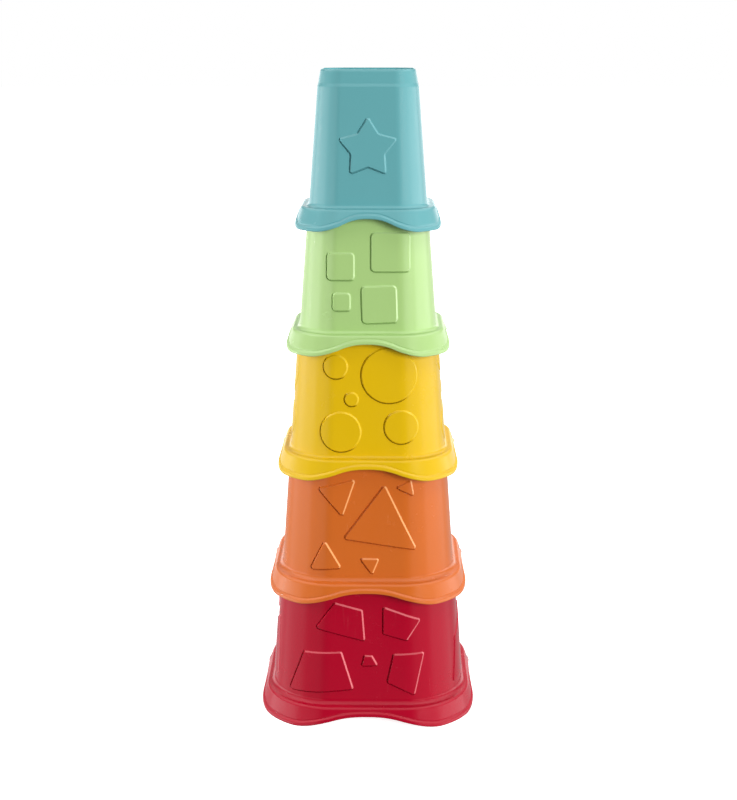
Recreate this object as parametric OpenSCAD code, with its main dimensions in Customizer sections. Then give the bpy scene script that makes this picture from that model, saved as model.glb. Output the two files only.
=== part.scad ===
// Stacking cup tower: five open cups, turned mouth down and stacked.
// Each cup is one thin moulded shell. Its wall is a rounded square that narrows upward from a flat
// ledge. A flared skirt with a wavy, beaded edge hangs from the ledge, and a foot ring stands on
// top. The foot ring of each cup enters the cup above, whose wall rests on the step round the ring.
// +Z is up, the front faces -Y, and the origin is the middle of the base, on the table.

/* [Cup wall] */
// Half of the largest cup's wall width, at its ledge
wall_half = 60.5; // [56:0.5:64]
// How much less that is on each next cup
wall_step = 6.2; // [5.8:0.1:6.6]
// Half of the straight stretch of the largest cup's sides
flat_half = 22.8; // [18:0.2:26]
// How much less that is on each next cup
flat_step = 1.5; // [0.5:0.1:2]
// Wall thickness
wall_t = 1.1; // [1:0.1:1.6]

/* [Stack] */
// Height from the largest cup's ledge to the next one
first_pitch = 79.5; // [72:0.5:86]
// How much less that is on each next cup
pitch_step = 1.85; // [1:0.05:2.5]
// Room between a foot ring and the wall that it stands in
seat_gap = 0.2; // [0.15:0.05:0.4]

/* [Skirt] */
// Height of the ledge above the lowest points of the skirt
skirt_h = 13; // [12.6:0.1:15]
// How far the ledge reaches out from the wall
ledge_reach = 5.6; // [5:0.1:6.5]
// How far the bead at the skirt's edge reaches out from the wall
bead_reach = 9.4; // [8.5:0.1:10]
// Height of the bead
bead_h = 3; // [2.4:0.1:3.2]
// How far the bead stands out from the skirt
bead_out = 0.9; // [0.6:0.1:1.1]
// How far the edge rises at the middle of each side
arch_h = 7.6; // [6:0.1:7.8]
// Share of the way from a side's middle to its corner that the rise takes up
arch_share = 0.85; // [0.8:0.01:0.95]
// How full the rise is at its middle
arch_fullness = 1.3; // [1:0.1:1.6]

/* [Foot ring] */
// Height of the foot ring above the step
ring_h = 9; // [7:0.5:10]
// How far the closed end lies below the ring's top
recess = 4; // [2:0.5:6]
// How far the smallest cup's ring, which no cup covers, stands in from the step's edge
top_inset = 1; // [0.8:0.1:1.9]

/* [Raised shapes] */
// How far the shapes stand out from the wall
relief_h = 1; // [0.6:0.1:1.2]
// Radius of their rounded corners
relief_r = 1.8; // [1.4:0.1:2.2]

/* [Smoothness] */
// Facets round each corner
corner_steps = 8; // [6:2:8]
// Facets along each straight stretch
flat_steps = 6; // [6:2:8]

/* [Hidden] */
NODES = ["trapezoid_cup", "triangle_cup", "circle_cup", "square_cup", "star_cup"];

quarter = flat_steps + corner_steps;
round_steps = 4 * quarter;
seat_over = 0.6;
draft = wall_step - seat_over;
seated_inset = seat_over + wall_t + seat_gap;
ledge_round = 2.2;
junction_r = 2.2;
edge_r = 0.4;
recess_draft = 0.35;
skin_t = 0.8;
deep = 40;

// Raised shapes, seen from outside: millimetres from the middle of a side and above the rim.
star_centre = [-0.5, 47.5];
star_tip = 17.5;
star_valley = 11;
// centre, width, height, turn
squares = [
    [[12.5, 61.5], 24, 24, 0],
    [[-17, 53], 17, 17, 0],
    [[-16.5, 32], 11.5, 11.5, 0],
    [[6, 30.5], 22, 23, 2]
];
// centre, radius
circles = [
    [[-20, 69.2], 7.5],
    [[12, 64], 17],
    [[-10.5, 49.5], 4.5],
    [[-17, 29.5], 12.5],
    [[19.5, 32.5], 10.5]
];
// the outermost point of each rounded corner
triangles = [
    [[-29.5, 72], [-8, 77.5], [-15.5, 55.5]],
    [[10.5, 74], [29.5, 34.5], [-14, 41]],
    [[26.5, 77.5], [28, 68], [18, 73]],
    [[-26, 38.5], [-16.5, 22.5], [-34.5, 21]],
    [[-4, 28], [7, 28], [3, 18.5]]
];
trapezoids = [
    [[-20, 80], [-2, 75], [-1, 55.5], [-31, 63.5]],
    [[10.5, 77], [33.5, 68.7], [25.5, 55.5], [10, 60]],
    [[-39, 47], [-15, 48], [-8, 24], [-48, 20]],
    [[-1.5, 46], [4, 46], [7, 39.5], [-3, 39]],
    [[17, 47], [35.7, 47.4], [30, 20], [13, 28]]
];
side_trapezoids = [
    [[-36, 50.5], [-13, 66], [-9, 25], [-41.5, 21]],
    [[1, 79.5], [23, 75.5], [19, 61.5], [-2, 65]],
    [[8, 49], [32, 61.5], [37.5, 23], [3, 28]],
    [[-2, 52.5], [2.5, 53], [3.5, 46.5], [-3.5, 46]]
];

// The family: cup 0 is the largest.
function pitch(i) = first_pitch - pitch_step * i;
function base_z(i) = i == 0 ? 0 : base_z(i - 1) + pitch(i - 1);
function shoulder_z(i) = skirt_h + pitch(i) - wall_t;
function half_at_ledge(i) = wall_half - wall_step * i;
function flat_at_ledge(i) = flat_half - flat_step * i;
function rise(i, z) = (z - skirt_h) / (shoulder_z(i) - skirt_h);
function wall_at(i, z) = half_at_ledge(i) - draft * max(0, rise(i, z));
function ring_inset(i) = i == len(NODES) - 1 ? top_inset : seated_inset;
function lip(i) = i == len(NODES) - 1 ? 1.6 : 0.8;
function flat_at(i, z) = flat_at_ledge(i) - flat_step * min(1, max(0, rise(i, z)));

// Outline of a cup: a square with straight stretches and round corners, from the middle of +X.
function corner_angle(j) = 90 * (j - flat_steps / 2) / corner_steps;
function side_point(j, half, flat) =
    j < flat_steps / 2 ? [half, 2 * flat * j / flat_steps] :
    j <= flat_steps / 2 + corner_steps ?
        [for (f = [cos(corner_angle(j)), sin(corner_angle(j))]) flat + (half - flat) * f] :
    [2 * flat * (quarter - j) / flat_steps, half];
function turned(p, turns) =
    turns == 0 ? p : turned([-p[1], p[0]], turns - 1);
function outline_point(k, half, flat) =
    turned(side_point(k % quarter, half, flat), floor(k / quarter));

// Rise of the skirt's edge, from 1 at the middle of a side to 0 near the corners.
function half_way(i) = flat_at_ledge(i) + (half_at_ledge(i) - flat_at_ledge(i)) * PI / 4;
function way(i, j) =
    j < flat_steps / 2 ? 2 * flat_at_ledge(i) * j / flat_steps :
    flat_at_ledge(i) + (half_at_ledge(i) - flat_at_ledge(i)) * corner_angle(j) * PI / 180;
function share(i, j) = way(i, min(j, quarter - j)) / half_way(i);
function wave(i, k) =
    let (s = share(i, k % quarter) / arch_share)
    s < 1 ? (1 + cos(180 * pow(s, arch_fullness))) / 2 : 0;

// The skirt widens evenly from the ledge down, so its edge moves in where it rises.
skirt_slope = (bead_reach - ledge_reach) / (skirt_h - bead_h / 2);
function skirt_out(z) = ledge_reach - bead_out + skirt_slope * (skirt_h - z);

// A ring is [half width, half straight stretch, height, share of the wave that it follows].
function ring_points(i, ring) = [
    for (k = [0 : round_steps - 1])
        let (lift = ring[3] * arch_h * wave(i, k))
        let (p = outline_point(k, ring[0] - skirt_slope * lift, ring[1]))
        [p[0], p[1], ring[2] + lift]
];
function wall_ring(i, out, z) = [wall_at(i, z) + out, flat_at(i, z), z, 0];
function edge_ring(i, out, z) = [half_at_ledge(i) + out, flat_at_ledge(i), z, 1];

// Over the shell: from the closed end, over the foot ring, down outside, and up inside.
function shell_rings(i) =
    let (s = shoulder_z(i), top = s + ring_h, in_z = skirt_h - wall_t)
    let (outer = -ring_inset(i), inner = outer - wall_t)
    [
        wall_ring(i, inner - recess_draft, top - recess),
        wall_ring(i, inner, top - edge_r),
        wall_ring(i, inner + edge_r, top),
        wall_ring(i, (inner + edge_r + outer) / 2, top - lip(i) / 4),
        wall_ring(i, outer, top - lip(i)),
        wall_ring(i, outer, s),
        wall_ring(i, -edge_r, s),
        wall_ring(i, 0, s - edge_r),
        wall_ring(i, 0, skirt_h + junction_r),
        wall_ring(i, junction_r * 0.3, skirt_h + junction_r * 0.3),
        wall_ring(i, junction_r, skirt_h),
        wall_ring(i, skirt_out(skirt_h) - ledge_round * 0.72, skirt_h),
        wall_ring(i, skirt_out(skirt_h) - ledge_round * 0.14, skirt_h - ledge_round * 0.19),
        wall_ring(i, skirt_out(skirt_h - ledge_round * 0.69), skirt_h - ledge_round * 0.69),
        edge_ring(i, skirt_out(bead_h), bead_h),
        edge_ring(i, skirt_out(bead_h * 0.8) + bead_out * 0.8, bead_h * 0.8),
        edge_ring(i, bead_reach, bead_h * 0.5),
        edge_ring(i, skirt_out(bead_h * 0.2) + bead_out * 0.6, bead_h * 0.15),
        edge_ring(i, skirt_out(0) - bead_out * 0.2, 0),
        edge_ring(i, skirt_out(0) - wall_t, 0),
        wall_ring(i, ledge_reach - bead_out - wall_t, in_z),
        wall_ring(i, -wall_t, in_z),
        wall_ring(i, -wall_t, s - wall_t),
        wall_ring(i, inner, s - wall_t),
        wall_ring(i, inner, top - recess - wall_t)
    ];

// The layer of the wall that the raised shapes are cut from.
function skin_rings(i) =
    let (low = skirt_h + junction_r, high = shoulder_z(i) - edge_r)
    [
        wall_ring(i, -skin_t, low),
        wall_ring(i, -skin_t, high),
        wall_ring(i, relief_h, high),
        wall_ring(i, relief_h, low)
    ];

// A solid through rings of points; a loop also joins its last ring to its first.
module loft(i, rings, loop = false) {
    last = len(rings) - 1;
    points = [for (ring = rings) each ring_points(i, ring)];
    sides = [
        for (r = [0 : loop ? last : last - 1], k = [0 : round_steps - 1])
            let (a = r * round_steps, b = ((r + 1) % len(rings)) * round_steps)
            let (m = (k + 1) % round_steps)
            each [[a + k, a + m, b + m], [a + k, b + m, b + k]]
    ];
    first_end = [for (k = [round_steps - 1 : -1 : 0]) k];
    last_end = [for (k = [0 : round_steps - 1]) last * round_steps + k];
    polyhedron(points, loop ? sides : concat(sides, [first_end, last_end]), convexity = 8);
}

// A shape with round corners, from the outermost point of each corner.
module rounded(tips, r = relief_r) {
    middle = [for (axis = [0, 1]) [for (p = tips) 1] * [for (p = tips) p[axis]]] / len(tips);
    hull() {
        for (p = tips) {
            translate(p + r * (middle - p) / norm(middle - p)) circle(r, $fn = 16);
        }
    }
}

// Its children, raised from a cup's wall on the sides that are named, counted round from the front.
module raised(i, sides) {
    translate([0, 0, base_z(i)]) intersection() {
        loft(i, skin_rings(i), loop = true);
        for (side = sides) {
            rotate([90, 0, 90 * side])
                translate([0, 0, half_at_ledge(i) - deep])
                    linear_extrude(2 * deep) children();
        }
    }
}

module shell(i) {
    translate([0, 0, base_z(i)]) loft(i, shell_rings(i));
}

module trapezoid_cup() {
    color([0.80, 0.06, 0.15]) union() {
        shell(0);
        raised(0, [0, 2]) for (tips = trapezoids) rounded(tips);
        raised(0, [1, 3]) for (tips = side_trapezoids) rounded(tips);
    }
}

module triangle_cup() {
    color([0.93, 0.43, 0.12]) union() {
        shell(1);
        raised(1, [0, 2]) for (tips = triangles) rounded(tips);
    }
}

module circle_cup() {
    color([0.98, 0.80, 0.08]) union() {
        shell(2);
        raised(2, [0 : 3]) for (c = circles) hull() translate(c[0]) circle(c[1], $fn = 36);
    }
}

module square_cup() {
    color([0.66, 0.90, 0.52]) union() {
        shell(3);
        raised(3, [0, 2]) for (s = squares) {
            w = s[1] / 2 - relief_r;
            h = s[2] / 2 - relief_r;
            translate(s[0]) rotate(s[3]) hull() {
                for (x = [-w, w], y = [-h, h]) translate([x, y]) circle(relief_r, $fn = 16);
            }
        }
    }
}

module star_cup() {
    color([0.36, 0.72, 0.77]) union() {
        shell(4);
        raised(4, [0, 2]) translate(star_centre) {
            for (k = [0 : 4]) rotate(72 * k) hull() {
                translate([0, star_tip - relief_r]) circle(relief_r, $fn = 16);
                for (a = [-36, 36]) rotate(a) translate([0, star_valley]) circle(0.1, $fn = 8);
                circle(1, $fn = 8);
            }
        }
    }
}

trapezoid_cup();
triangle_cup();
circle_cup();
square_cup();
star_cup();
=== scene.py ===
"""Looks of the stacking cup tower: five glossy moulded cups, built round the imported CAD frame.

Each cup is one mesh: a profile swept round a rounded square, with the raised shapes worked into
its four sides. The profile and the family sizes repeat the CAD's, in millimetres; places come
from the frame, in metres.
"""
import math

import bpy
import numpy as np
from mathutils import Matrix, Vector
from mathutils.geometry import delaunay_2d_cdt


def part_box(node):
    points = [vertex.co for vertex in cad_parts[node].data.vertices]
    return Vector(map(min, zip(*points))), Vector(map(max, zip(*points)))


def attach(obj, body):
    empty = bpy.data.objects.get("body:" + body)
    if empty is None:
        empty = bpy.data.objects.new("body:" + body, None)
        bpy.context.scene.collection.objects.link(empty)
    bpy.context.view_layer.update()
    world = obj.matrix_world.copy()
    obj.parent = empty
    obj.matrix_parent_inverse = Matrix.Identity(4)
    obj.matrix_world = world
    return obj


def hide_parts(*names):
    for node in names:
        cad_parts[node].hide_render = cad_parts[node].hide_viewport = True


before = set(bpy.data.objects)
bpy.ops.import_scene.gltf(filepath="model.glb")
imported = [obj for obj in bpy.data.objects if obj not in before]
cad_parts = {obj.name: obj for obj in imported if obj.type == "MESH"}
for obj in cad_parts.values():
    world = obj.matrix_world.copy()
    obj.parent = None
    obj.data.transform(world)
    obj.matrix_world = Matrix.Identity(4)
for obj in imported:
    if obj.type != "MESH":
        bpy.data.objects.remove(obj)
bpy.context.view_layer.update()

MM = 0.001

# ---------------------------------------------------------------- sizes of the cups, millimetres
WALL_HALF = 60.5        # half of the largest cup's wall width, at its ledge
WALL_STEP = 6.2         # how much less on each next cup
FLAT_HALF = 22.8        # half of the straight stretch of its sides
FLAT_STEP = 1.5
SEAT_OVER = 0.6         # how much wider the step is than the wall of the cup that sits on it
DRAFT = WALL_STEP - SEAT_OVER  # how much a wall narrows from its ledge to its step, on each side
WALL = 1.1              # wall thickness
SKIRT = 13.0            # height of the ledge above the rim
LEDGE_OUT = 4.7         # how far the ledge reaches out
GROOVE = 0.25           # depth of the fine groove over the bead at the skirt's edge
SLOPE = 3.8 / 11.5      # how fast the skirt widens downward
ARCH = 7.6              # how far the rim rises at the middle of each side
ARCH_SHARE = 0.85
ARCH_FULLNESS = 1.3
RING = 9.0              # height of the foot ring
RING_INSET = 1.9        # how far it stands in from the step's edge, where a cup covers it
TOP_INSET = 1.0         # the same on the smallest cup
RECESS = 4.0            # depth of the closed end below the ring's top
RELIEF = 0.9            # how far the raised shapes stand out
RELIEF_R = 1.8          # radius of their corners
EDGE_W = 1.15           # width of the slope round a raised shape
STEEP_W = 0.6           # its width along the shape's left and lower edges, which are crisper
CREASE = 0.75           # depth of the fine crease at the foot of those edges
CREASE_W = 0.8          # its width
CREASE_AT = 0.3         # how far outside the slope's foot the crease is deepest

ARC_COLUMNS = 13        # places round half a corner
STRAIGHT_GAP = 2.6      # between places along the straight stretch
ROW_GAP = 3             # between the wall's rows of points
LOOP_GAP = 1.6          # between points along a raised shape's straight edges
LOOP_TURN = 11          # degrees between points round its corners

# Raised shapes as circles that their outline runs round: [centre u, centre v, radius].
# A negative radius makes a hollow corner. u is along the side and v is above the rim.


def corners(tips, radius=RELIEF_R):
    """Circles inside the rounded corners whose outermost points are given."""
    tips = np.array(tips, float)
    inward = tips.mean(0) - tips
    inward /= np.linalg.norm(inward, axis=1)[:, None]
    return [(*p, radius) for p in counter_clockwise(tips + radius * inward)]


def counter_clockwise(points):
    nxt = np.roll(points, -1, axis=0)
    area = (points[:, 0] * nxt[:, 1] - points[:, 1] * nxt[:, 0]).sum()
    return points if area > 0 else points[::-1]


def square(centre, width, height, turn, radius=RELIEF_R):
    w = width / 2 - radius
    h = height / 2 - radius
    c = math.cos(math.radians(turn))
    s = math.sin(math.radians(turn))
    return [
        (centre[0] + x * c - y * s, centre[1] + x * s + y * c, radius)
        for x, y in ((-w, -h), (w, -h), (w, h), (-w, h))
    ]


def star(centre, tip, valley, tip_r=1.5, valley_r=1.6):
    circles = []
    for k in range(5):
        for turn, reach, radius in ((0, tip - tip_r, tip_r), (36, valley + valley_r, -valley_r)):
            a = math.radians(90 + 72 * k + turn)
            u, v = centre[0] + reach * math.cos(a), centre[1] + reach * math.sin(a)
            circles.append((u, v, radius))
    return circles


SHAPES = {
    "trapezoid_cup": [
        corners([(-20, 80), (-2, 75), (-1, 55.5), (-31, 63.5)]),
        corners([(10.5, 77), (33.5, 68.7), (25.5, 55.5), (10, 60)]),
        corners([(-39, 47), (-15, 48), (-8, 24), (-48, 20)]),
        corners([(-1.5, 46), (4, 46), (7, 39.5), (-3, 39)], 1.4),
        corners([(17, 47), (35.7, 47.4), (30, 20), (13, 28)]),
    ],
    "triangle_cup": [
        corners([(-29.5, 72), (-8, 77.5), (-15.5, 55.5)]),
        corners([(10.5, 74), (29.5, 34.5), (-14, 41)]),
        corners([(26.5, 77.5), (28, 68), (18, 73)], 1.4),
        corners([(-26, 38.5), (-16.5, 22.5), (-34.5, 21)]),
        corners([(-4, 28), (7, 28), (3, 18.5)], 1.4),
    ],
    "circle_cup": [
        [(-20, 69.2, 7.5)],
        [(12, 64, 17)],
        [(-10.5, 49.5, 4.5)],
        [(-17, 29.5, 12.5)],
        [(19.5, 32.5, 10.5)],
    ],
    "square_cup": [
        square((12.5, 61.5), 24, 24, 0, 3),
        square((-17, 53), 17, 17, 0, 2.8),
        square((-16.5, 32), 11.5, 11.5, 0, 2.6),
        square((6, 30.5), 22, 23, 2, 3),
    ],
    "star_cup": [star((-0.5, 47.5), 17.5, 11)],
}
# The same for a cup's left and right sides; those of the cups not named are plain.
SIDE_SHAPES = {
    "trapezoid_cup": [
        corners([(-36, 50.5), (-13, 66), (-9, 25), (-41.5, 21)]),
        corners([(1, 79.5), (23, 75.5), (19, 61.5), (-2, 65)]),
        corners([(8, 49), (32, 61.5), (37.5, 23), (3, 28)]),
        corners([(-2, 52.5), (2.5, 53), (3.5, 46.5), (-3.5, 46)], 1.4),
    ],
    "circle_cup": SHAPES["circle_cup"],
}
CUPS = ["trapezoid_cup", "triangle_cup", "circle_cup", "square_cup", "star_cup"]
# How far the crisp outline of each cup's shapes stands from the CAD's: (along, up, inward)
NUDGE = {
    "trapezoid_cup": (-0.6, -0.5, 0.75),
    "triangle_cup": (0.0, -0.35, 0.6),
    "circle_cup": (0.9, -0.3, 0.45),
    "square_cup": (1.0, 0.0, 0.6),
    "star_cup": (0.6, 0.3, 0.5),
}
# Height of the shapes on the left and right sides, as a share of the full height; it also scales
# their painted highlight
SIDE_BOLDNESS = {"trapezoid_cup": 0.85, "circle_cup": 0.45}
SIDE_CREASE = 0.15      # and the depth of their creases, in the same way, which also scales the painted shade in them


# ---------------------------------------------------------------- one cup's sizes
class Cup:
    """Where one cup of the family is, and how wide it is at each height above its rim."""

    def __init__(self, name, index):
        low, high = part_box(name)
        self.name = name
        self.base = low.z / MM
        self.top = (high.z - low.z) / MM
        self.step = self.top - RING
        self.half = WALL_HALF - WALL_STEP * index
        self.flat = FLAT_HALF - FLAT_STEP * index
        self.radius = self.half - self.flat
        self.ring_is_bare = index == len(CUPS) - 1
        self.foot_is_soft = index < 2
        self.inset = TOP_INSET if self.ring_is_bare else RING_INSET
        self.way = self.flat + self.radius * math.pi / 4
        self.flat_share = self.flat / self.way
        self.narrowing = DRAFT / (self.step - SKIRT)
        self.flat_narrowing = FLAT_STEP / (self.step - SKIRT)

    def half_at(self, z):
        return self.half - self.narrowing * np.maximum(0, np.asarray(z) - SKIRT)

    def flat_at(self, z, half):
        rise = np.clip(np.asarray(z) - SKIRT, 0, self.step - SKIRT)
        return np.minimum(self.flat - self.flat_narrowing * rise, np.maximum(0, half - 6))

    def columns(self):
        """Places round one side, from -1 at one corner's middle to 1 at the next's."""
        arc = np.linspace(self.flat_share, 1, ARC_COLUMNS)
        gaps = 2 * round(self.flat / STRAIGHT_GAP)
        straight = np.linspace(-self.flat_share, self.flat_share, gaps + 1)
        return np.concatenate([-arc[::-1][:-1], straight, arc[1:]])

    def outline(self, t, half, flat):
        """Along and outward place, outward normal and the share of the flat's growth, at t."""
        t = np.asarray(t, float)
        sign = np.sign(t)
        k = np.abs(t)
        on_flat = k <= self.flat_share
        angle = np.where(on_flat, 0, (k - self.flat_share) / (1 - self.flat_share)) * math.pi / 4
        radius = half - flat
        along = np.where(on_flat, flat * k / self.flat_share, flat + radius * np.sin(angle)) * sign
        outward = flat + radius * np.cos(angle)
        normal = np.stack([np.sin(angle) * sign, np.cos(angle)], -1)
        grow = np.stack([np.where(on_flat, k / self.flat_share, 1 - np.sin(angle)) * sign,
                         1 - np.cos(angle)], -1)
        return along, outward, normal, grow, on_flat

    def lift(self, t):
        """Rise of the rim at t, and its slope along the outline."""
        t = np.asarray(t, float)
        k = np.abs(t)
        share = k / ARCH_SHARE
        inside = share < 1
        share = np.minimum(share, 1)
        phase = math.pi * share ** ARCH_FULLNESS
        rise = np.where(inside, ARCH * (1 + np.cos(phase)) / 2, 0)
        rate = -ARCH / 2 * np.sin(phase) * math.pi * ARCH_FULLNESS * share ** (ARCH_FULLNESS - 1)
        rate = np.where(inside, rate / (ARCH_SHARE * self.way), 0) * np.sign(t)
        return rise, rate


# ---------------------------------------------------------------- profile
def fillet(before, corner, after, radius, steps):
    """Points and directions of travel along an arc that rounds a corner of the profile."""
    a = (corner - before) / np.linalg.norm(corner - before)
    b = (after - corner) / np.linalg.norm(after - corner)
    turn = math.atan2(a[0] * b[1] - a[1] * b[0], a @ b)
    cut = radius * math.tan(abs(turn) / 2)
    start = corner - a * cut
    side = np.array([-a[1], a[0]]) * math.copysign(1, turn)
    centre = start + side * radius
    out = []
    for k in range(steps + 1):
        angle = turn * k / steps
        c, s = math.cos(angle), math.sin(angle)
        spoke = -side * radius
        point = centre + np.array([spoke[0] * c - spoke[1] * s, spoke[0] * s + spoke[1] * c])
        out.append((point, np.array([a[0] * c - a[1] * s, a[0] * s + a[1] * c])))
    return out


WALL_FOOT = 13          # which turn of the profile is the hollow at the wall's foot


def profile(cup):
    """The shell's section: (half width, height, direction, share of the wave, mark) for each ring.
    It runs from the closed end's underside down the inside, round the rim, up the outside and
    over the foot ring to the closed end's top. Also the index of the ring where the wall starts."""
    s, top = cup.step, cup.top
    skirt_at = lambda z: cup.half + LEDGE_OUT + SLOPE * (SKIRT - z)
    wall_at = lambda z: float(cup.half_at(z))
    ring_in = lambda z: wall_at(z) - cup.inset - WALL
    under = top - RECESS - WALL
    # the uncovered foot ring has a rounder lip, and leans in from a step that is nearly smooth
    lip, soft, lean = (1.6, 0.9, 0.6) if cup.ring_is_bare else (0.8, 0, 0)
    # how far the ledge climbs to the wall, the hollow rounding there and the painted shade in that
    # hollow
    climb, hollow, painted_hollow_shade = (0.8, 3.8, 0.35) if cup.foot_is_soft else (0, 2.4, 0.1)
    # half width, height, radius of the rounding, share of the wave
    turns = [
        (0, under, 0, 0),
        (ring_in(under), under, 0.8, 0),
        (ring_in(s - WALL), s - WALL, 0.3, 0),
        (wall_at(s - WALL) - WALL, s - WALL, 0.5, 0),
        (cup.half - WALL, SKIRT - WALL, 0.5, 0),
        (skirt_at(SKIRT - WALL) - WALL, SKIRT - WALL, 0.9, 0),
        (skirt_at(0) - WALL, 0, 0.2, 1),
        (skirt_at(0) + 0.1, 0, 0.5, 1),
        (skirt_at(0.6) + 0.52, 0.6, 0.9, 1),
        (skirt_at(2.2) + 0.6, 2.2, 1.2, 1),
        (skirt_at(3.1) - GROOVE, 3.1, 0.3, 1),
        (skirt_at(3.9), 3.9, 0.5, 1),
        (skirt_at(SKIRT), SKIRT, 2.0 + 0.5 * climb, 0),
        (cup.half, SKIRT + climb, hollow, 0),
        (wall_at(s - soft), s - soft, 0.45 + 2 * soft, 0),
        (wall_at(s + soft) - cup.inset + lean, s + soft, 0.3 + 2 * soft, 0),
        (wall_at(top) - cup.inset, top - 0.75 * lip, 1.2 * lip, 0),
        (wall_at(top) - cup.inset - 0.4, top - 0.15 * lip, 0.4, 0),
        (ring_in(top), top, 0.2, 0),
        (ring_in(top - RECESS) - 0.35, top - RECESS, 0.8, 0),
        (3.2, top - RECESS, 0.3, 0),
        (2.8, top - RECESS - 0.35, 0.3, 0),
        (1.1, top - RECESS - 0.35, 0.15, 0),
        (0.9, top - RECESS - 0.05, 0.15, 0),
        (0, top - RECESS - 0.05, 0, 0),
    ]
    rings = []
    wall_start = None
    for k in range(1, len(turns) - 1):
        before, corner, after = (np.array(turns[j][:2], float) for j in (k - 1, k, k + 1))
        steps = 8 if turns[k][2] >= 1 else 5
        arc = fillet(before, corner, after, turns[k][2], steps)
        for j, (point, direction) in enumerate(arc):
            # painted shade: the rings round the hollow at the wall's foot are painted darker, most
            # at its middle
            mark = -painted_hollow_shade * math.sin(math.pi * j / steps) if k == WALL_FOOT else 0
            rings.append((*point, *direction, turns[k][3], mark))
        if k == WALL_FOOT:
            wall_start = len(rings) - 1
    return rings, wall_start


# ---------------------------------------------------------------- mesh
class Builder:
    """Vertices with their own normals; points that fall together become one vertex.
    A vertex's mark says how its colour is painted: below 0 it is painted darker as shade, in a
    crease or hollow, above 0 it is painted paler as a highlight."""

    def __init__(self):
        self.index = {}
        self.points = []
        self.normals = []
        self.marks = []
        self.faces = []

    def add(self, points, normals, marks):
        out = []
        for p, n, mark in zip(points, normals, marks):
            key = (round(p[0], 3), round(p[1], 3), round(p[2], 3))
            if key not in self.index:
                self.index[key] = len(self.points)
                self.points.append(p)
                self.normals.append(n)
                self.marks.append(mark)
            out.append(self.index[key])
        return out

    def face(self, *corners_of_face):
        kept = [c for k, c in enumerate(corners_of_face) if c != corners_of_face[k - 1]]
        if len(kept) > 2:
            self.faces.append(kept)


def unit(v):
    return v / np.maximum(np.linalg.norm(v, axis=-1, keepdims=True), 1e-12)


def to_side(side, along, outward, z):
    """From a side's own directions to the row's: side 0 faces -Y, and the rest follow round."""
    x, y = along, -outward
    for _ in range(side):
        x, y = -y, x
    return np.stack([x, y, z], -1)


def surface(cup, t, half, z, along_profile, wave):
    """Points and normals of the shell at places t round one side, for one ring."""
    half = np.broadcast_to(half, t.shape)
    flat = cup.flat_at(z, half)
    rise, rate = cup.lift(t)
    rise = rise * wave
    rate = rate * wave
    along, outward, n, grow, on_flat = cup.outline(t, half - SLOPE * rise, flat)
    speed = np.where(on_flat, 1, (half - flat) / cup.radius)
    tangent = np.stack([n[:, 1] * speed, -n[:, 0] * speed], -1)
    along_ring = np.concatenate([tangent - (SLOPE * rate)[:, None] * n, rate[:, None]], 1)
    dh, dz = along_profile
    on_wall = (z > SKIRT) & (z < cup.step)
    flat_rate = np.where(on_wall, -cup.flat_narrowing, 0) * dz
    up = np.concatenate([dh * n + flat_rate[:, None] * grow, np.full((len(t), 1), dz)], 1)
    # side 0 faces -Y: (along, outward, z) is a left-handed set, so the cross product is turned
    normal = -unit(np.cross(along_ring, up))
    return along, outward, z + rise, normal


def sweep(cup, build):
    """The shell, but for the straight wall that carries the raised shapes."""
    rings, wall_start = profile(cup)
    t = cup.columns()
    rows = []
    for half, z, dh, dz, wave, mark in rings:
        z_all = np.full(t.shape, z)
        along, outward, height, normal = surface(cup, t, half, z_all, (dh, dz), wave)
        row = []
        for side in range(4):
            points = to_side(side, along, outward, height)
            normals = to_side(side, normal[:, 0], normal[:, 1], normal[:, 2])
            row += build.add(points[:-1], normals[:-1], np.full(len(points) - 1, mark))
        rows.append(row)
    for r in range(len(rows) - 1):
        if r == wall_start:
            continue
        low, high = rows[r], rows[r + 1]
        for k in range(len(low)):
            m = (k + 1) % len(low)
            build.face(low[k], low[m], high[m], high[k])
    build.face(*rows[0][::-1])
    build.face(*rows[-1])
    return rings[wall_start][1], rings[wall_start + 1][1]


def loop(circles, offset):
    """Outline at a distance outside a raised shape's edge: points and outward directions."""
    if len(circles) == 1:
        u, v, radius = circles[0]
        angles = np.linspace(0, 2 * math.pi, 48 + 4 * int(radius), endpoint=False)
        n = np.stack([np.cos(angles), np.sin(angles)], -1)
        return np.array([u, v]) + (radius + offset) * n, n
    centres = np.array([c[:2] for c in circles], float)
    radii = np.array([c[2] for c in circles], float) + offset
    ahead = np.roll(centres, -1, axis=0) - centres
    length = np.linalg.norm(ahead, axis=1)
    ahead /= length[:, None]
    lean = (radii - np.roll(radii, -1)) / length
    right = np.stack([ahead[:, 1], -ahead[:, 0]], -1)
    edge_n = right * np.sqrt(1 - lean ** 2)[:, None] + ahead * lean[:, None]
    points, normals = [], []
    for k in range(len(circles)):
        before, after = edge_n[k - 1], edge_n[k]
        turn = math.atan2(before[0] * after[1] - before[1] * after[0], before @ after)
        steps = max(4, int(abs(turn) / math.radians(LOOP_TURN)))
        start = math.atan2(before[1], before[0])
        for j in range(steps + 1):
            a = start + turn * j / steps
            n = np.array([math.cos(a), math.sin(a)])
            points.append(centres[k] + radii[k] * n)
            normals.append(n)
        end = centres[(k + 1) % len(circles)] + radii[(k + 1) % len(circles)] * after
        gap = np.linalg.norm(end - points[-1])
        pieces = max(1, int(gap / LOOP_GAP))
        first = points[-1]
        for j in range(1, pieces):
            points.append(first + (end - first) * j / pieces)
            normals.append(after)
    return np.array(points), np.array(normals)


def distance(circles, places):
    """Signed distance from each place to a raised shape's edge, positive outside."""
    edge, normals = loop(circles, 0)
    gap = places[:, None, :] - edge[None, :, :]
    near = np.linalg.norm(gap, axis=2)
    k = near.argmin(1)
    pick = np.arange(len(places))
    side = np.einsum("ij,ij->i", gap[pick, k], normals[k])
    return near[pick, k] * np.where(side >= 0, 1, -1)


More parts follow.
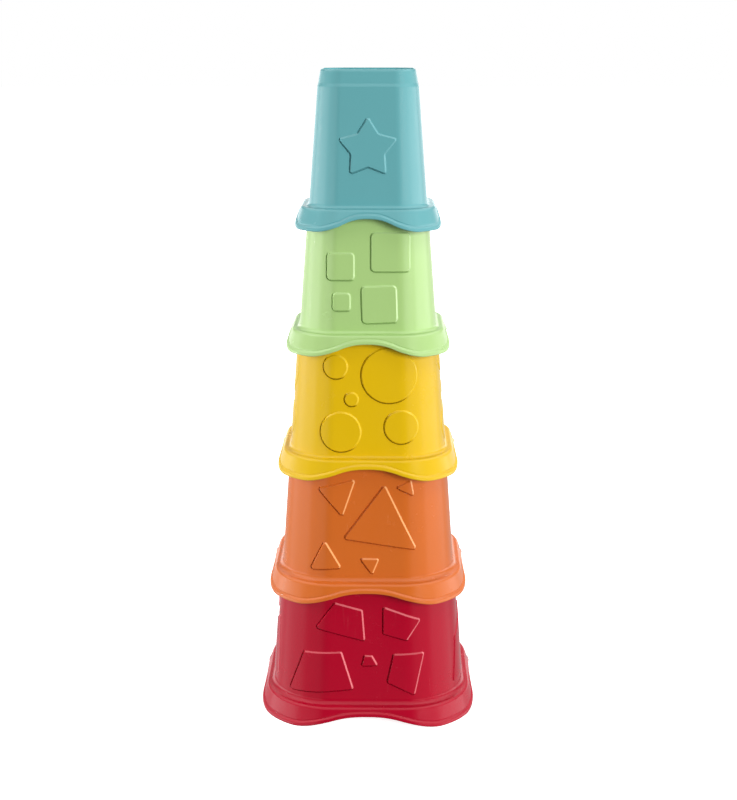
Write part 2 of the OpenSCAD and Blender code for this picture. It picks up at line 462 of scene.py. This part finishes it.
# rows of points up the slope and across the crease, as shares of their widths
EDGE_STEPS = (0.1, 0.24, 0.4, 0.6, 0.76, 0.9, 1)
CREASE_STEPS = (0.5, 0.33, 0.17, 0, -0.17, -0.33)
CRISP_WAY = np.array([-0.75, -0.66])    # the way that the crisp edges face: left and down; these are also painted with shade
HIGHLIGHT_WAY = np.array([0.97, 0.25])     # the way that the edges with a painted highlight face: right


def edge_rows(normals, crease, boldness):
    """Rows round a raised shape's edge.
    A row has (offset outward, height, tilt outward, mark) for each point."""
    low_left = np.clip(normals @ CRISP_WAY / 0.5 + 0.3, 0, 1)
    crisp = low_left ** 2 * (3 - 2 * low_left)
    # painted highlight: share of it on each point by how far its edge faces right
    painted_highlight_share = np.clip(normals @ HIGHLIGHT_WAY / 0.6, 0, 1)
    # painted shade: share of it on the crisp left and lower edges, most on the lower ones
    painted_shade_share = crisp * (0.6 + 0.4 * np.clip(-normals[:, 1], 0, 1))
    depth = crisp * CREASE * crease
    width = EDGE_W + (STEEP_W - EDGE_W) * crisp
    foot = width / 2 + CREASE_AT
    offsets = [foot + CREASE_W * step for step in CREASE_STEPS]
    offsets += [width * (0.5 - x) for x in EDGE_STEPS]
    rows = []
    for offset in offsets:
        x = np.clip(0.5 - offset / width, 0, 1)
        turn = 2 * math.pi * np.clip((offset - foot) / CREASE_W, -0.5, 0.5)
        height = boldness * RELIEF * x * x * (3 - 2 * x) - depth * (1 + np.cos(turn)) / 2
        tilt = boldness * RELIEF * 6 * x * (1 - x) / width
        tilt -= depth * math.pi / CREASE_W * np.sin(turn)
        # mark: a painted highlight up the slope of right-facing edges, less painted shade down in
        # the crease of the crisp ones
        mark = boldness * painted_highlight_share * 4 * x * (1 - x) - painted_shade_share * crease * (1 + np.cos(turn)) / 2
        rows.append((offset, height, tilt, mark))
    return rows


def raised_wall(cup, build, z_low, z_high, shapes, sides, crease, boldness):
    """The straight wall between two heights, with the raised shapes, on the sides named.
    crease and boldness are the shares of the full crease depth and of the full height; crease also
    scales the painted shade in the creases, and boldness the painted highlight on the right-facing
    edges."""
    along_by, up_by, inward = NUDGE[cup.name]
    columns = cup.columns()
    middle = (z_low + z_high) / 2
    flat_middle = float(cup.flat_at(middle, cup.half))
    width = flat_middle + (float(cup.half_at(middle)) - flat_middle) * math.pi / 4

    def place(uv):
        """Place round the side for a point seen straight on."""
        u, z = uv[:, 0], uv[:, 1]
        half = cup.half_at(z)
        flat = cup.flat_at(z, half)
        k = np.abs(u)
        bent = np.arcsin(np.clip((k - flat) / (half - flat), 0, 0.999)) / (math.pi / 4)
        t = np.where(k <= flat, cup.flat_share * k / flat,
                     cup.flat_share + (1 - cup.flat_share) * bent)
        return t * np.sign(u)

    t_all, z_all, height, tilt, gradient, marks, edges = [], [], [], [], [], [], []
    for circles in shapes:
        edge, n = loop(circles, -inward)
        count = len(edge)
        for offset, row_height, row_tilt, row_marks in edge_rows(n, crease, boldness):
            uv = edge + offset[:, None] * n + (along_by, up_by)
            first = sum(len(a) for a in t_all)
            edges += [(first + k, first + (k + 1) % count) for k in range(count)]
            t_all.append(place(uv))
            z_all.append(uv[:, 1])
            height.append(row_height)
            tilt.append(row_tilt)
            gradient.append(n)
            marks.append(row_marks)
    rows = np.linspace(z_low, z_high, round((z_high - z_low) / ROW_GAP))
    grid_t, grid_z = np.meshgrid(columns, rows)
    inner_t = grid_t[1:-1].ravel()
    inner_z = grid_z[1:-1].ravel()
    half = cup.half_at(inner_z)
    seen = cup.outline(inner_t, half, cup.flat_at(inner_z, half))[0]
    places = np.stack([seen, inner_z], -1)
    raised = np.zeros(len(places))
    keep = np.ones(len(places), bool)
    for circles in shapes:
        d = distance(circles, places - (along_by, up_by)) + inward
        keep &= (d > EDGE_W / 2 + CREASE_AT + CREASE_W) | (d < -EDGE_W / 2 - 0.7)
        raised[d < 0] = boldness * RELIEF
    keep |= np.abs(inner_t) == 1
    edge_t = np.concatenate([columns, columns])
    edge_z = np.concatenate([np.full(len(columns), z_low), np.full(len(columns), z_high)])
    for t, z, h in ((inner_t[keep], inner_z[keep], raised[keep]), (edge_t, edge_z, 0 * edge_t)):
        t_all.append(t)
        z_all.append(z)
        height.append(h)
        tilt.append(0 * t)
        gradient.append(np.zeros((len(t), 2)))
        marks.append(0 * t)
    t_all, z_all = np.concatenate(t_all), np.concatenate(z_all)
    height, tilt = np.concatenate(height), np.concatenate(tilt)
    gradient, marks = np.concatenate(gradient), np.concatenate(marks)
    flat_places = [Vector((t * width, z)) for t, z in zip(t_all, z_all)]
    out = delaunay_2d_cdt(flat_places, edges, [], 0, 1e-5)
    source = np.array([o[0] for o in out[3]])

    half = cup.half_at(z_all)
    along, outward, z, normal = surface(cup, t_all, half, z_all, (-cup.narrowing, 1.0), 0)
    slope = np.stack([gradient[:, 0], 0 * tilt, gradient[:, 1]], -1)
    slope -= np.einsum("ij,ij->i", slope, normal)[:, None] * normal
    leaning = unit(normal + tilt[:, None] * slope)
    along = along + height * normal[:, 0]
    outward = outward + height * normal[:, 1]
    z = z + height * normal[:, 2]
    for side in sides:
        points = to_side(side, along, outward, z)
        normals = to_side(side, leaning[:, 0], leaning[:, 1], leaning[:, 2])
        index = build.add(points[source], normals[source], marks[source])
        for face in out[2]:
            build.face(*(index[k] for k in face))


def cup_object(cup, material):
    build = Builder()
    z_low, z_high = sweep(cup, build)
    raised_wall(cup, build, z_low, z_high, SHAPES[cup.name], (0, 2), 1, 1)
    raised_wall(cup, build, z_low, z_high, SIDE_SHAPES.get(cup.name, []), (1, 3),
                SIDE_CREASE, SIDE_BOLDNESS.get(cup.name, 1))
    points = np.array(build.points)
    points[:, 2] += cup.base
    mesh = bpy.data.meshes.new(cup.name + "_moulding")
    mesh.from_pydata((points * MM).tolist(), [], build.faces)
    mesh.materials.append(material)
    mesh.polygons.foreach_set("use_smooth", [True] * len(mesh.polygons))
    mesh.update()
    mesh.attributes.new("mark", "FLOAT", "POINT").data.foreach_set("value", build.marks)
    mesh.normals_split_custom_set_from_vertices([tuple(n) for n in unit(np.array(build.normals))])
    obj = bpy.data.objects.new(cup.name + "_moulding", mesh)
    bpy.context.scene.collection.objects.link(obj)
    return obj


# ---------------------------------------------------------------- materials
def plastic(name, colour, gloss_level, crease, highlight_and_scratch_colour, painted_highlight_level):
    """Glossy moulded plastic: flow marks, fine grain, uneven gloss, scuffs and hairline scratches.
    crease is how dark the painted shade in its creases is; the last two arguments are the colour of
    the painted highlight on its right-facing edges, which the scratches also take, and how near
    those edges come to it."""
    mat = bpy.data.materials.new(name)
    mat.use_nodes = True
    nodes, links = mat.node_tree.nodes, mat.node_tree.links
    shader = nodes["Principled BSDF"]
    shader.inputs["IOR"].default_value = 1.45
    shader.inputs["Specular IOR Level"].default_value = gloss_level
    coordinates = nodes.new("ShaderNodeTexCoord")

    def noise(scale, detail, stretch=(1, 1, 1), turn=(0, 0, 0)):
        mapping = nodes.new("ShaderNodeMapping")
        mapping.inputs["Scale"].default_value = stretch
        mapping.inputs["Rotation"].default_value = turn
        texture = nodes.new("ShaderNodeTexNoise")
        texture.inputs["Scale"].default_value = scale
        texture.inputs["Detail"].default_value = detail
        links.new(coordinates.outputs["Object"], mapping.inputs["Vector"])
        links.new(mapping.outputs["Vector"], texture.inputs["Vector"])
        return texture.outputs["Fac"]

    def between(value, low, high, start=0.3, end=0.7):
        node = nodes.new("ShaderNodeMapRange")
        node.inputs["From Min"].default_value = start
        node.inputs["From Max"].default_value = end
        node.inputs["To Min"].default_value = low
        node.inputs["To Max"].default_value = high
        links.new(value, node.inputs["Value"])
        return node.outputs["Result"]

    def maths(operation, first, second):
        node = nodes.new("ShaderNodeMath")
        node.operation = operation
        links.new(first, node.inputs[0])
        links.new(second, node.inputs[1])
        return node.outputs[0]

    def tint(under, over, factor):
        node = nodes.new("ShaderNodeMix")
        node.data_type = "RGBA"
        links.new(factor, node.inputs["Factor"])
        node.inputs["B"].default_value = (*over, 1)
        if isinstance(under, tuple):
            node.inputs["A"].default_value = (*under, 1)
        else:
            links.new(under, node.inputs["A"])
        return node.outputs["Result"]

    def bump(height, strength, depth, under=None):
        node = nodes.new("ShaderNodeBump")
        node.inputs["Strength"].default_value = strength
        node.inputs["Distance"].default_value = depth
        links.new(height, node.inputs["Height"])
        if under is not None:
            links.new(under, node.inputs["Normal"])
        return node.outputs["Normal"]

    attribute = nodes.new("ShaderNodeAttribute")
    attribute.attribute_name = "mark"
    mark = attribute.outputs["Fac"]
    patches = between(noise(26, 2), 0, 1, 0.5, 0.62)
    hairs = maths("MAXIMUM", noise(420, 1, (1, 1, 0.05), (0.3, 0.2, 0)),
                  noise(380, 1, (1, 1, 0.06), (-0.9, 0.7, 0.4)))
    scratches = maths("MULTIPLY", between(hairs, 0, 1, 0.7, 0.76), patches)
    scuffs = maths("MULTIPLY", between(noise(190, 5), 0, 1, 0.52, 0.66), patches)

    flow = between(noise(14, 2, (1, 1, 0.35)), 0, 1)
    hue = tint(colour, tuple(0.95 * c for c in colour), flow)
    # painted shade: darker, towards 0.22 of the colour, where the mark is below 0
    hue = tint(hue, tuple(0.22 * c for c in colour), between(mark, 0, crease, 0, -1))
    # painted highlight: paler, towards the highlight colour, where the mark is above 0
    hue = tint(hue, highlight_and_scratch_colour, between(mark, 0, painted_highlight_level, 0, 1))
    hue = tint(hue, highlight_and_scratch_colour, between(scratches, 0, 0.03, 0, 1))
    links.new(hue, shader.inputs["Base Color"])

    gloss = between(noise(60, 4, (1, 1, 0.5)), 0.17, 0.24)
    gloss = maths("ADD", gloss, between(scuffs, 0, 0.1, 0, 1))
    gloss = maths("ADD", gloss, between(scratches, 0, 0.05, 0, 1))
    links.new(gloss, shader.inputs["Roughness"])

    waves = bump(noise(45, 2), 0.15, 0.0005)
    grain = bump(noise(1600, 2), 0.05, 0.0002, waves)
    links.new(bump(scratches, 0.02, -0.0001, grain), shader.inputs["Normal"])
    return mat


# the slot's name, the colour, how glossy it is, how dark the painted shade in its creases is, and
# the colour of the painted highlight on its right-facing edges, which its scratches also take, with
# how near those edges come to it
RED, ORANGE, YELLOW = (0.440, 0.0015, 0.021), (0.650, 0.147, 0.019), (0.750, 0.475, 0.003)
GREEN, BLUE = (0.405, 0.620, 0.220), (0.130, 0.395, 0.422)
COLOURS = {
    "trapezoid_cup": ("red_plastic", RED, 0.36, 0.3, (0.97, 0.29, 0.32), 0.7),
    "triangle_cup": ("orange_plastic", ORANGE, 0.5, 0.3, (0.95, 0.48, 0.18), 0.9),
    "circle_cup": ("yellow_plastic", YELLOW, 0.45, 1.0, (0.90, 0.70, 0.05), 0.4),
    "square_cup": ("green_plastic", GREEN, 0.85, 0.33, (0.70, 0.88, 0.50), 0.45),
    "star_cup": ("blue_plastic", BLUE, 0.6, 0.25, (0.26, 0.59, 0.63), 0.1),
}


# ---------------------------------------------------------------- camera
LENS = 63.9             # millimetres
SENSOR = 36             # millimetres, along the picture's long side
DISTANCE = 0.875        # from the tower's axis
HEIGHT = 0.417          # above the floor
DOWN = 14.27            # degrees that it looks down
ROUND = 0.79            # degrees that it stands round to the right


def make_camera():
    data = bpy.data.cameras.new("camera")
    data.lens = LENS
    data.sensor_width = SENSOR
    data.sensor_fit = "AUTO"
    camera = bpy.data.objects.new("camera", data)
    a = math.radians(ROUND)
    camera.location = (DISTANCE * math.sin(a), -DISTANCE * math.cos(a), HEIGHT)
    camera.rotation_euler = (math.radians(90 - DOWN), 0, a)
    bpy.context.scene.collection.objects.link(camera)
    bpy.context.scene.camera = camera


# ---------------------------------------------------------------- light and floor
TOWER_MIDDLE = Vector((0, 0, 0.2))


def around(azimuth, elevation, distance):
    """A place seen from the tower's middle: azimuth 0 is the camera's side, to the right is +."""
    a, e = math.radians(azimuth), math.radians(elevation)
    flat = distance * math.cos(e)
    way = Vector((flat * math.sin(a), -flat * math.cos(a), distance * math.sin(e)))
    return TOWER_MIDDLE + way


def area_light(name, place, size, level):
    """level is the light's share of a white surface's full brightness when that faces it.
    The gloss shows the studio instead of the lights."""
    data = bpy.data.lights.new(name, "AREA")
    data.shape = "RECTANGLE"
    data.size, data.size_y = size
    data.energy = level * math.pi ** 2 * (place - TOWER_MIDDLE).length ** 2
    light = bpy.data.objects.new(name, data)
    light.location = place
    light.rotation_euler = (TOWER_MIDDLE - place).to_track_quat("-Z", "Y").to_euler()
    light.visible_glossy = False
    bpy.context.scene.collection.objects.link(light)


def make_floor():
    mat = bpy.data.materials.new("pale_floor")
    mat.use_nodes = True
    shader = mat.node_tree.nodes["Principled BSDF"]
    shader.inputs["Base Color"].default_value = (0.8, 0.8, 0.8, 1)
    shader.inputs["Roughness"].default_value = 0.9
    shader.inputs["Specular IOR Level"].default_value = 0.0
    shader.inputs["Emission Color"].default_value = (1, 1, 1, 1)
    shader.inputs["Emission Strength"].default_value = 0.85
    mesh = bpy.data.meshes.new("floor")
    reach = 12
    places = [(reach * x, reach * y, 0) for x, y in ((-1, -1), (1, -1), (1, 1), (-1, 1))]
    mesh.from_pydata(places, [], [(0, 1, 2, 3)])
    mesh.materials.append(mat)
    floor = bpy.data.objects.new("floor", mesh)
    floor.visible_glossy = False
    floor.visible_diffuse = False
    bpy.context.scene.collection.objects.link(floor)


# what the studio round the tower shows in the gloss, by azimuth from the camera's side:
# (where it starts, in degrees, how bright)
STUDIO = (
    (0, 0.02), (16, 0.02), (23, 1.2), (55, 1.5), (62, 3.2), (112, 3.2), (120, 1.6), (180, 1.6)
)
# how much of that there is by height, and what is overhead and on the floor in front:
# (sine of the height, how bright)
SIDES_BY_HEIGHT = (
    (-0.27, 0.35), (-0.03, 1.0), (0.08, 1.0), (0.2, 0.25), (0.38, 0.25), (0.48, 0.8), (1.0, 0.8)
)
UP_AND_DOWN = (
    (-0.33, 0.3), (-0.27, 0.0), (0.4, 0.0), (0.48, 1.3), (0.7, 1.3), (0.8, 1.8), (1.0, 1.8)
)
FILL = 0.35             # the even light from all round


def make_world():
    world = bpy.data.worlds.new("studio")
    bpy.context.scene.world = world
    world.use_nodes = True
    nodes, links = world.node_tree.nodes, world.node_tree.links
    background = nodes["Background"]

    def maths(operation, first, second=None, third=None):
        node = nodes.new("ShaderNodeMath")
        node.operation = operation
        for socket, value in zip(node.inputs, (first, second, third)):
            if value is None:
                continue
            if isinstance(value, (int, float)):
                socket.default_value = value
            else:
                links.new(value, socket)
        return node.outputs[0]

    coordinates = nodes.new("ShaderNodeTexCoord")
    split = nodes.new("ShaderNodeSeparateXYZ")
    links.new(coordinates.outputs["Generated"], split.inputs[0])
    azimuth = maths("ARCTAN2", maths("ABSOLUTE", split.outputs["X"]),
                    maths("MULTIPLY", split.outputs["Y"], -1.0))

    def ramp(value, low, high, steps):
        """A curve through (place, level) steps, for a value between low and high."""
        node = nodes.new("ShaderNodeValToRGB")
        brightest = max(level for _, level in steps)
        while len(node.color_ramp.elements) < len(steps):
            node.color_ramp.elements.new(0.5)
        for element, (start, level) in zip(node.color_ramp.elements, steps):
            element.position = (start - low) / (high - low)
            element.color = (*[level / brightest] * 3, 1)
        share = maths("DIVIDE", maths("SUBTRACT", value, low), high - low)
        links.new(share, node.inputs["Fac"])
        return maths("MULTIPLY", node.outputs["Color"], brightest)

    sides = ramp(maths("MULTIPLY", azimuth, 180 / math.pi), 0.0, 180.0, STUDIO)
    by_height = ramp(split.outputs["Z"], -1.0, 1.0, SIDES_BY_HEIGHT)
    up_and_down = ramp(split.outputs["Z"], -1.0, 1.0, UP_AND_DOWN)
    gloss = maths("MAXIMUM", maths("MULTIPLY", sides, by_height), up_and_down)

    path = nodes.new("ShaderNodeLightPath")
    seen = maths("ADD", maths("MULTIPLY", path.outputs["Is Camera Ray"], 1.0 - FILL), FILL)
    extra = maths("MULTIPLY", path.outputs["Is Glossy Ray"], maths("SUBTRACT", gloss, FILL))
    links.new(maths("ADD", seen, extra), background.inputs["Strength"])
    background.inputs["Color"].default_value = (1, 1, 1, 1)


def make_lights():
    area_light("key", around(40, 14, 3.0), (1.5, 1.3), 0.83)
    area_light("top", around(50, 60, 3.0), (1.2, 1.2), 0.2)
    area_light("left_side", around(-97, 6, 1.6), (0.12, 0.68), 1.05)
    area_light("right_side", around(97, 6, 1.6), (0.12, 0.68), 0.12)
    area_light("back", around(170, 40, 3.0), (1.2, 1.2), 0.7)


make_camera()
make_floor()
make_world()
make_lights()
bpy.context.scene.view_settings.view_transform = "Standard"
for number, cup_name in enumerate(CUPS):
    piece = cup_object(Cup(cup_name, number), plastic(*COLOURS[cup_name]))
    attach(piece, cup_name)
    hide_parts(cup_name)
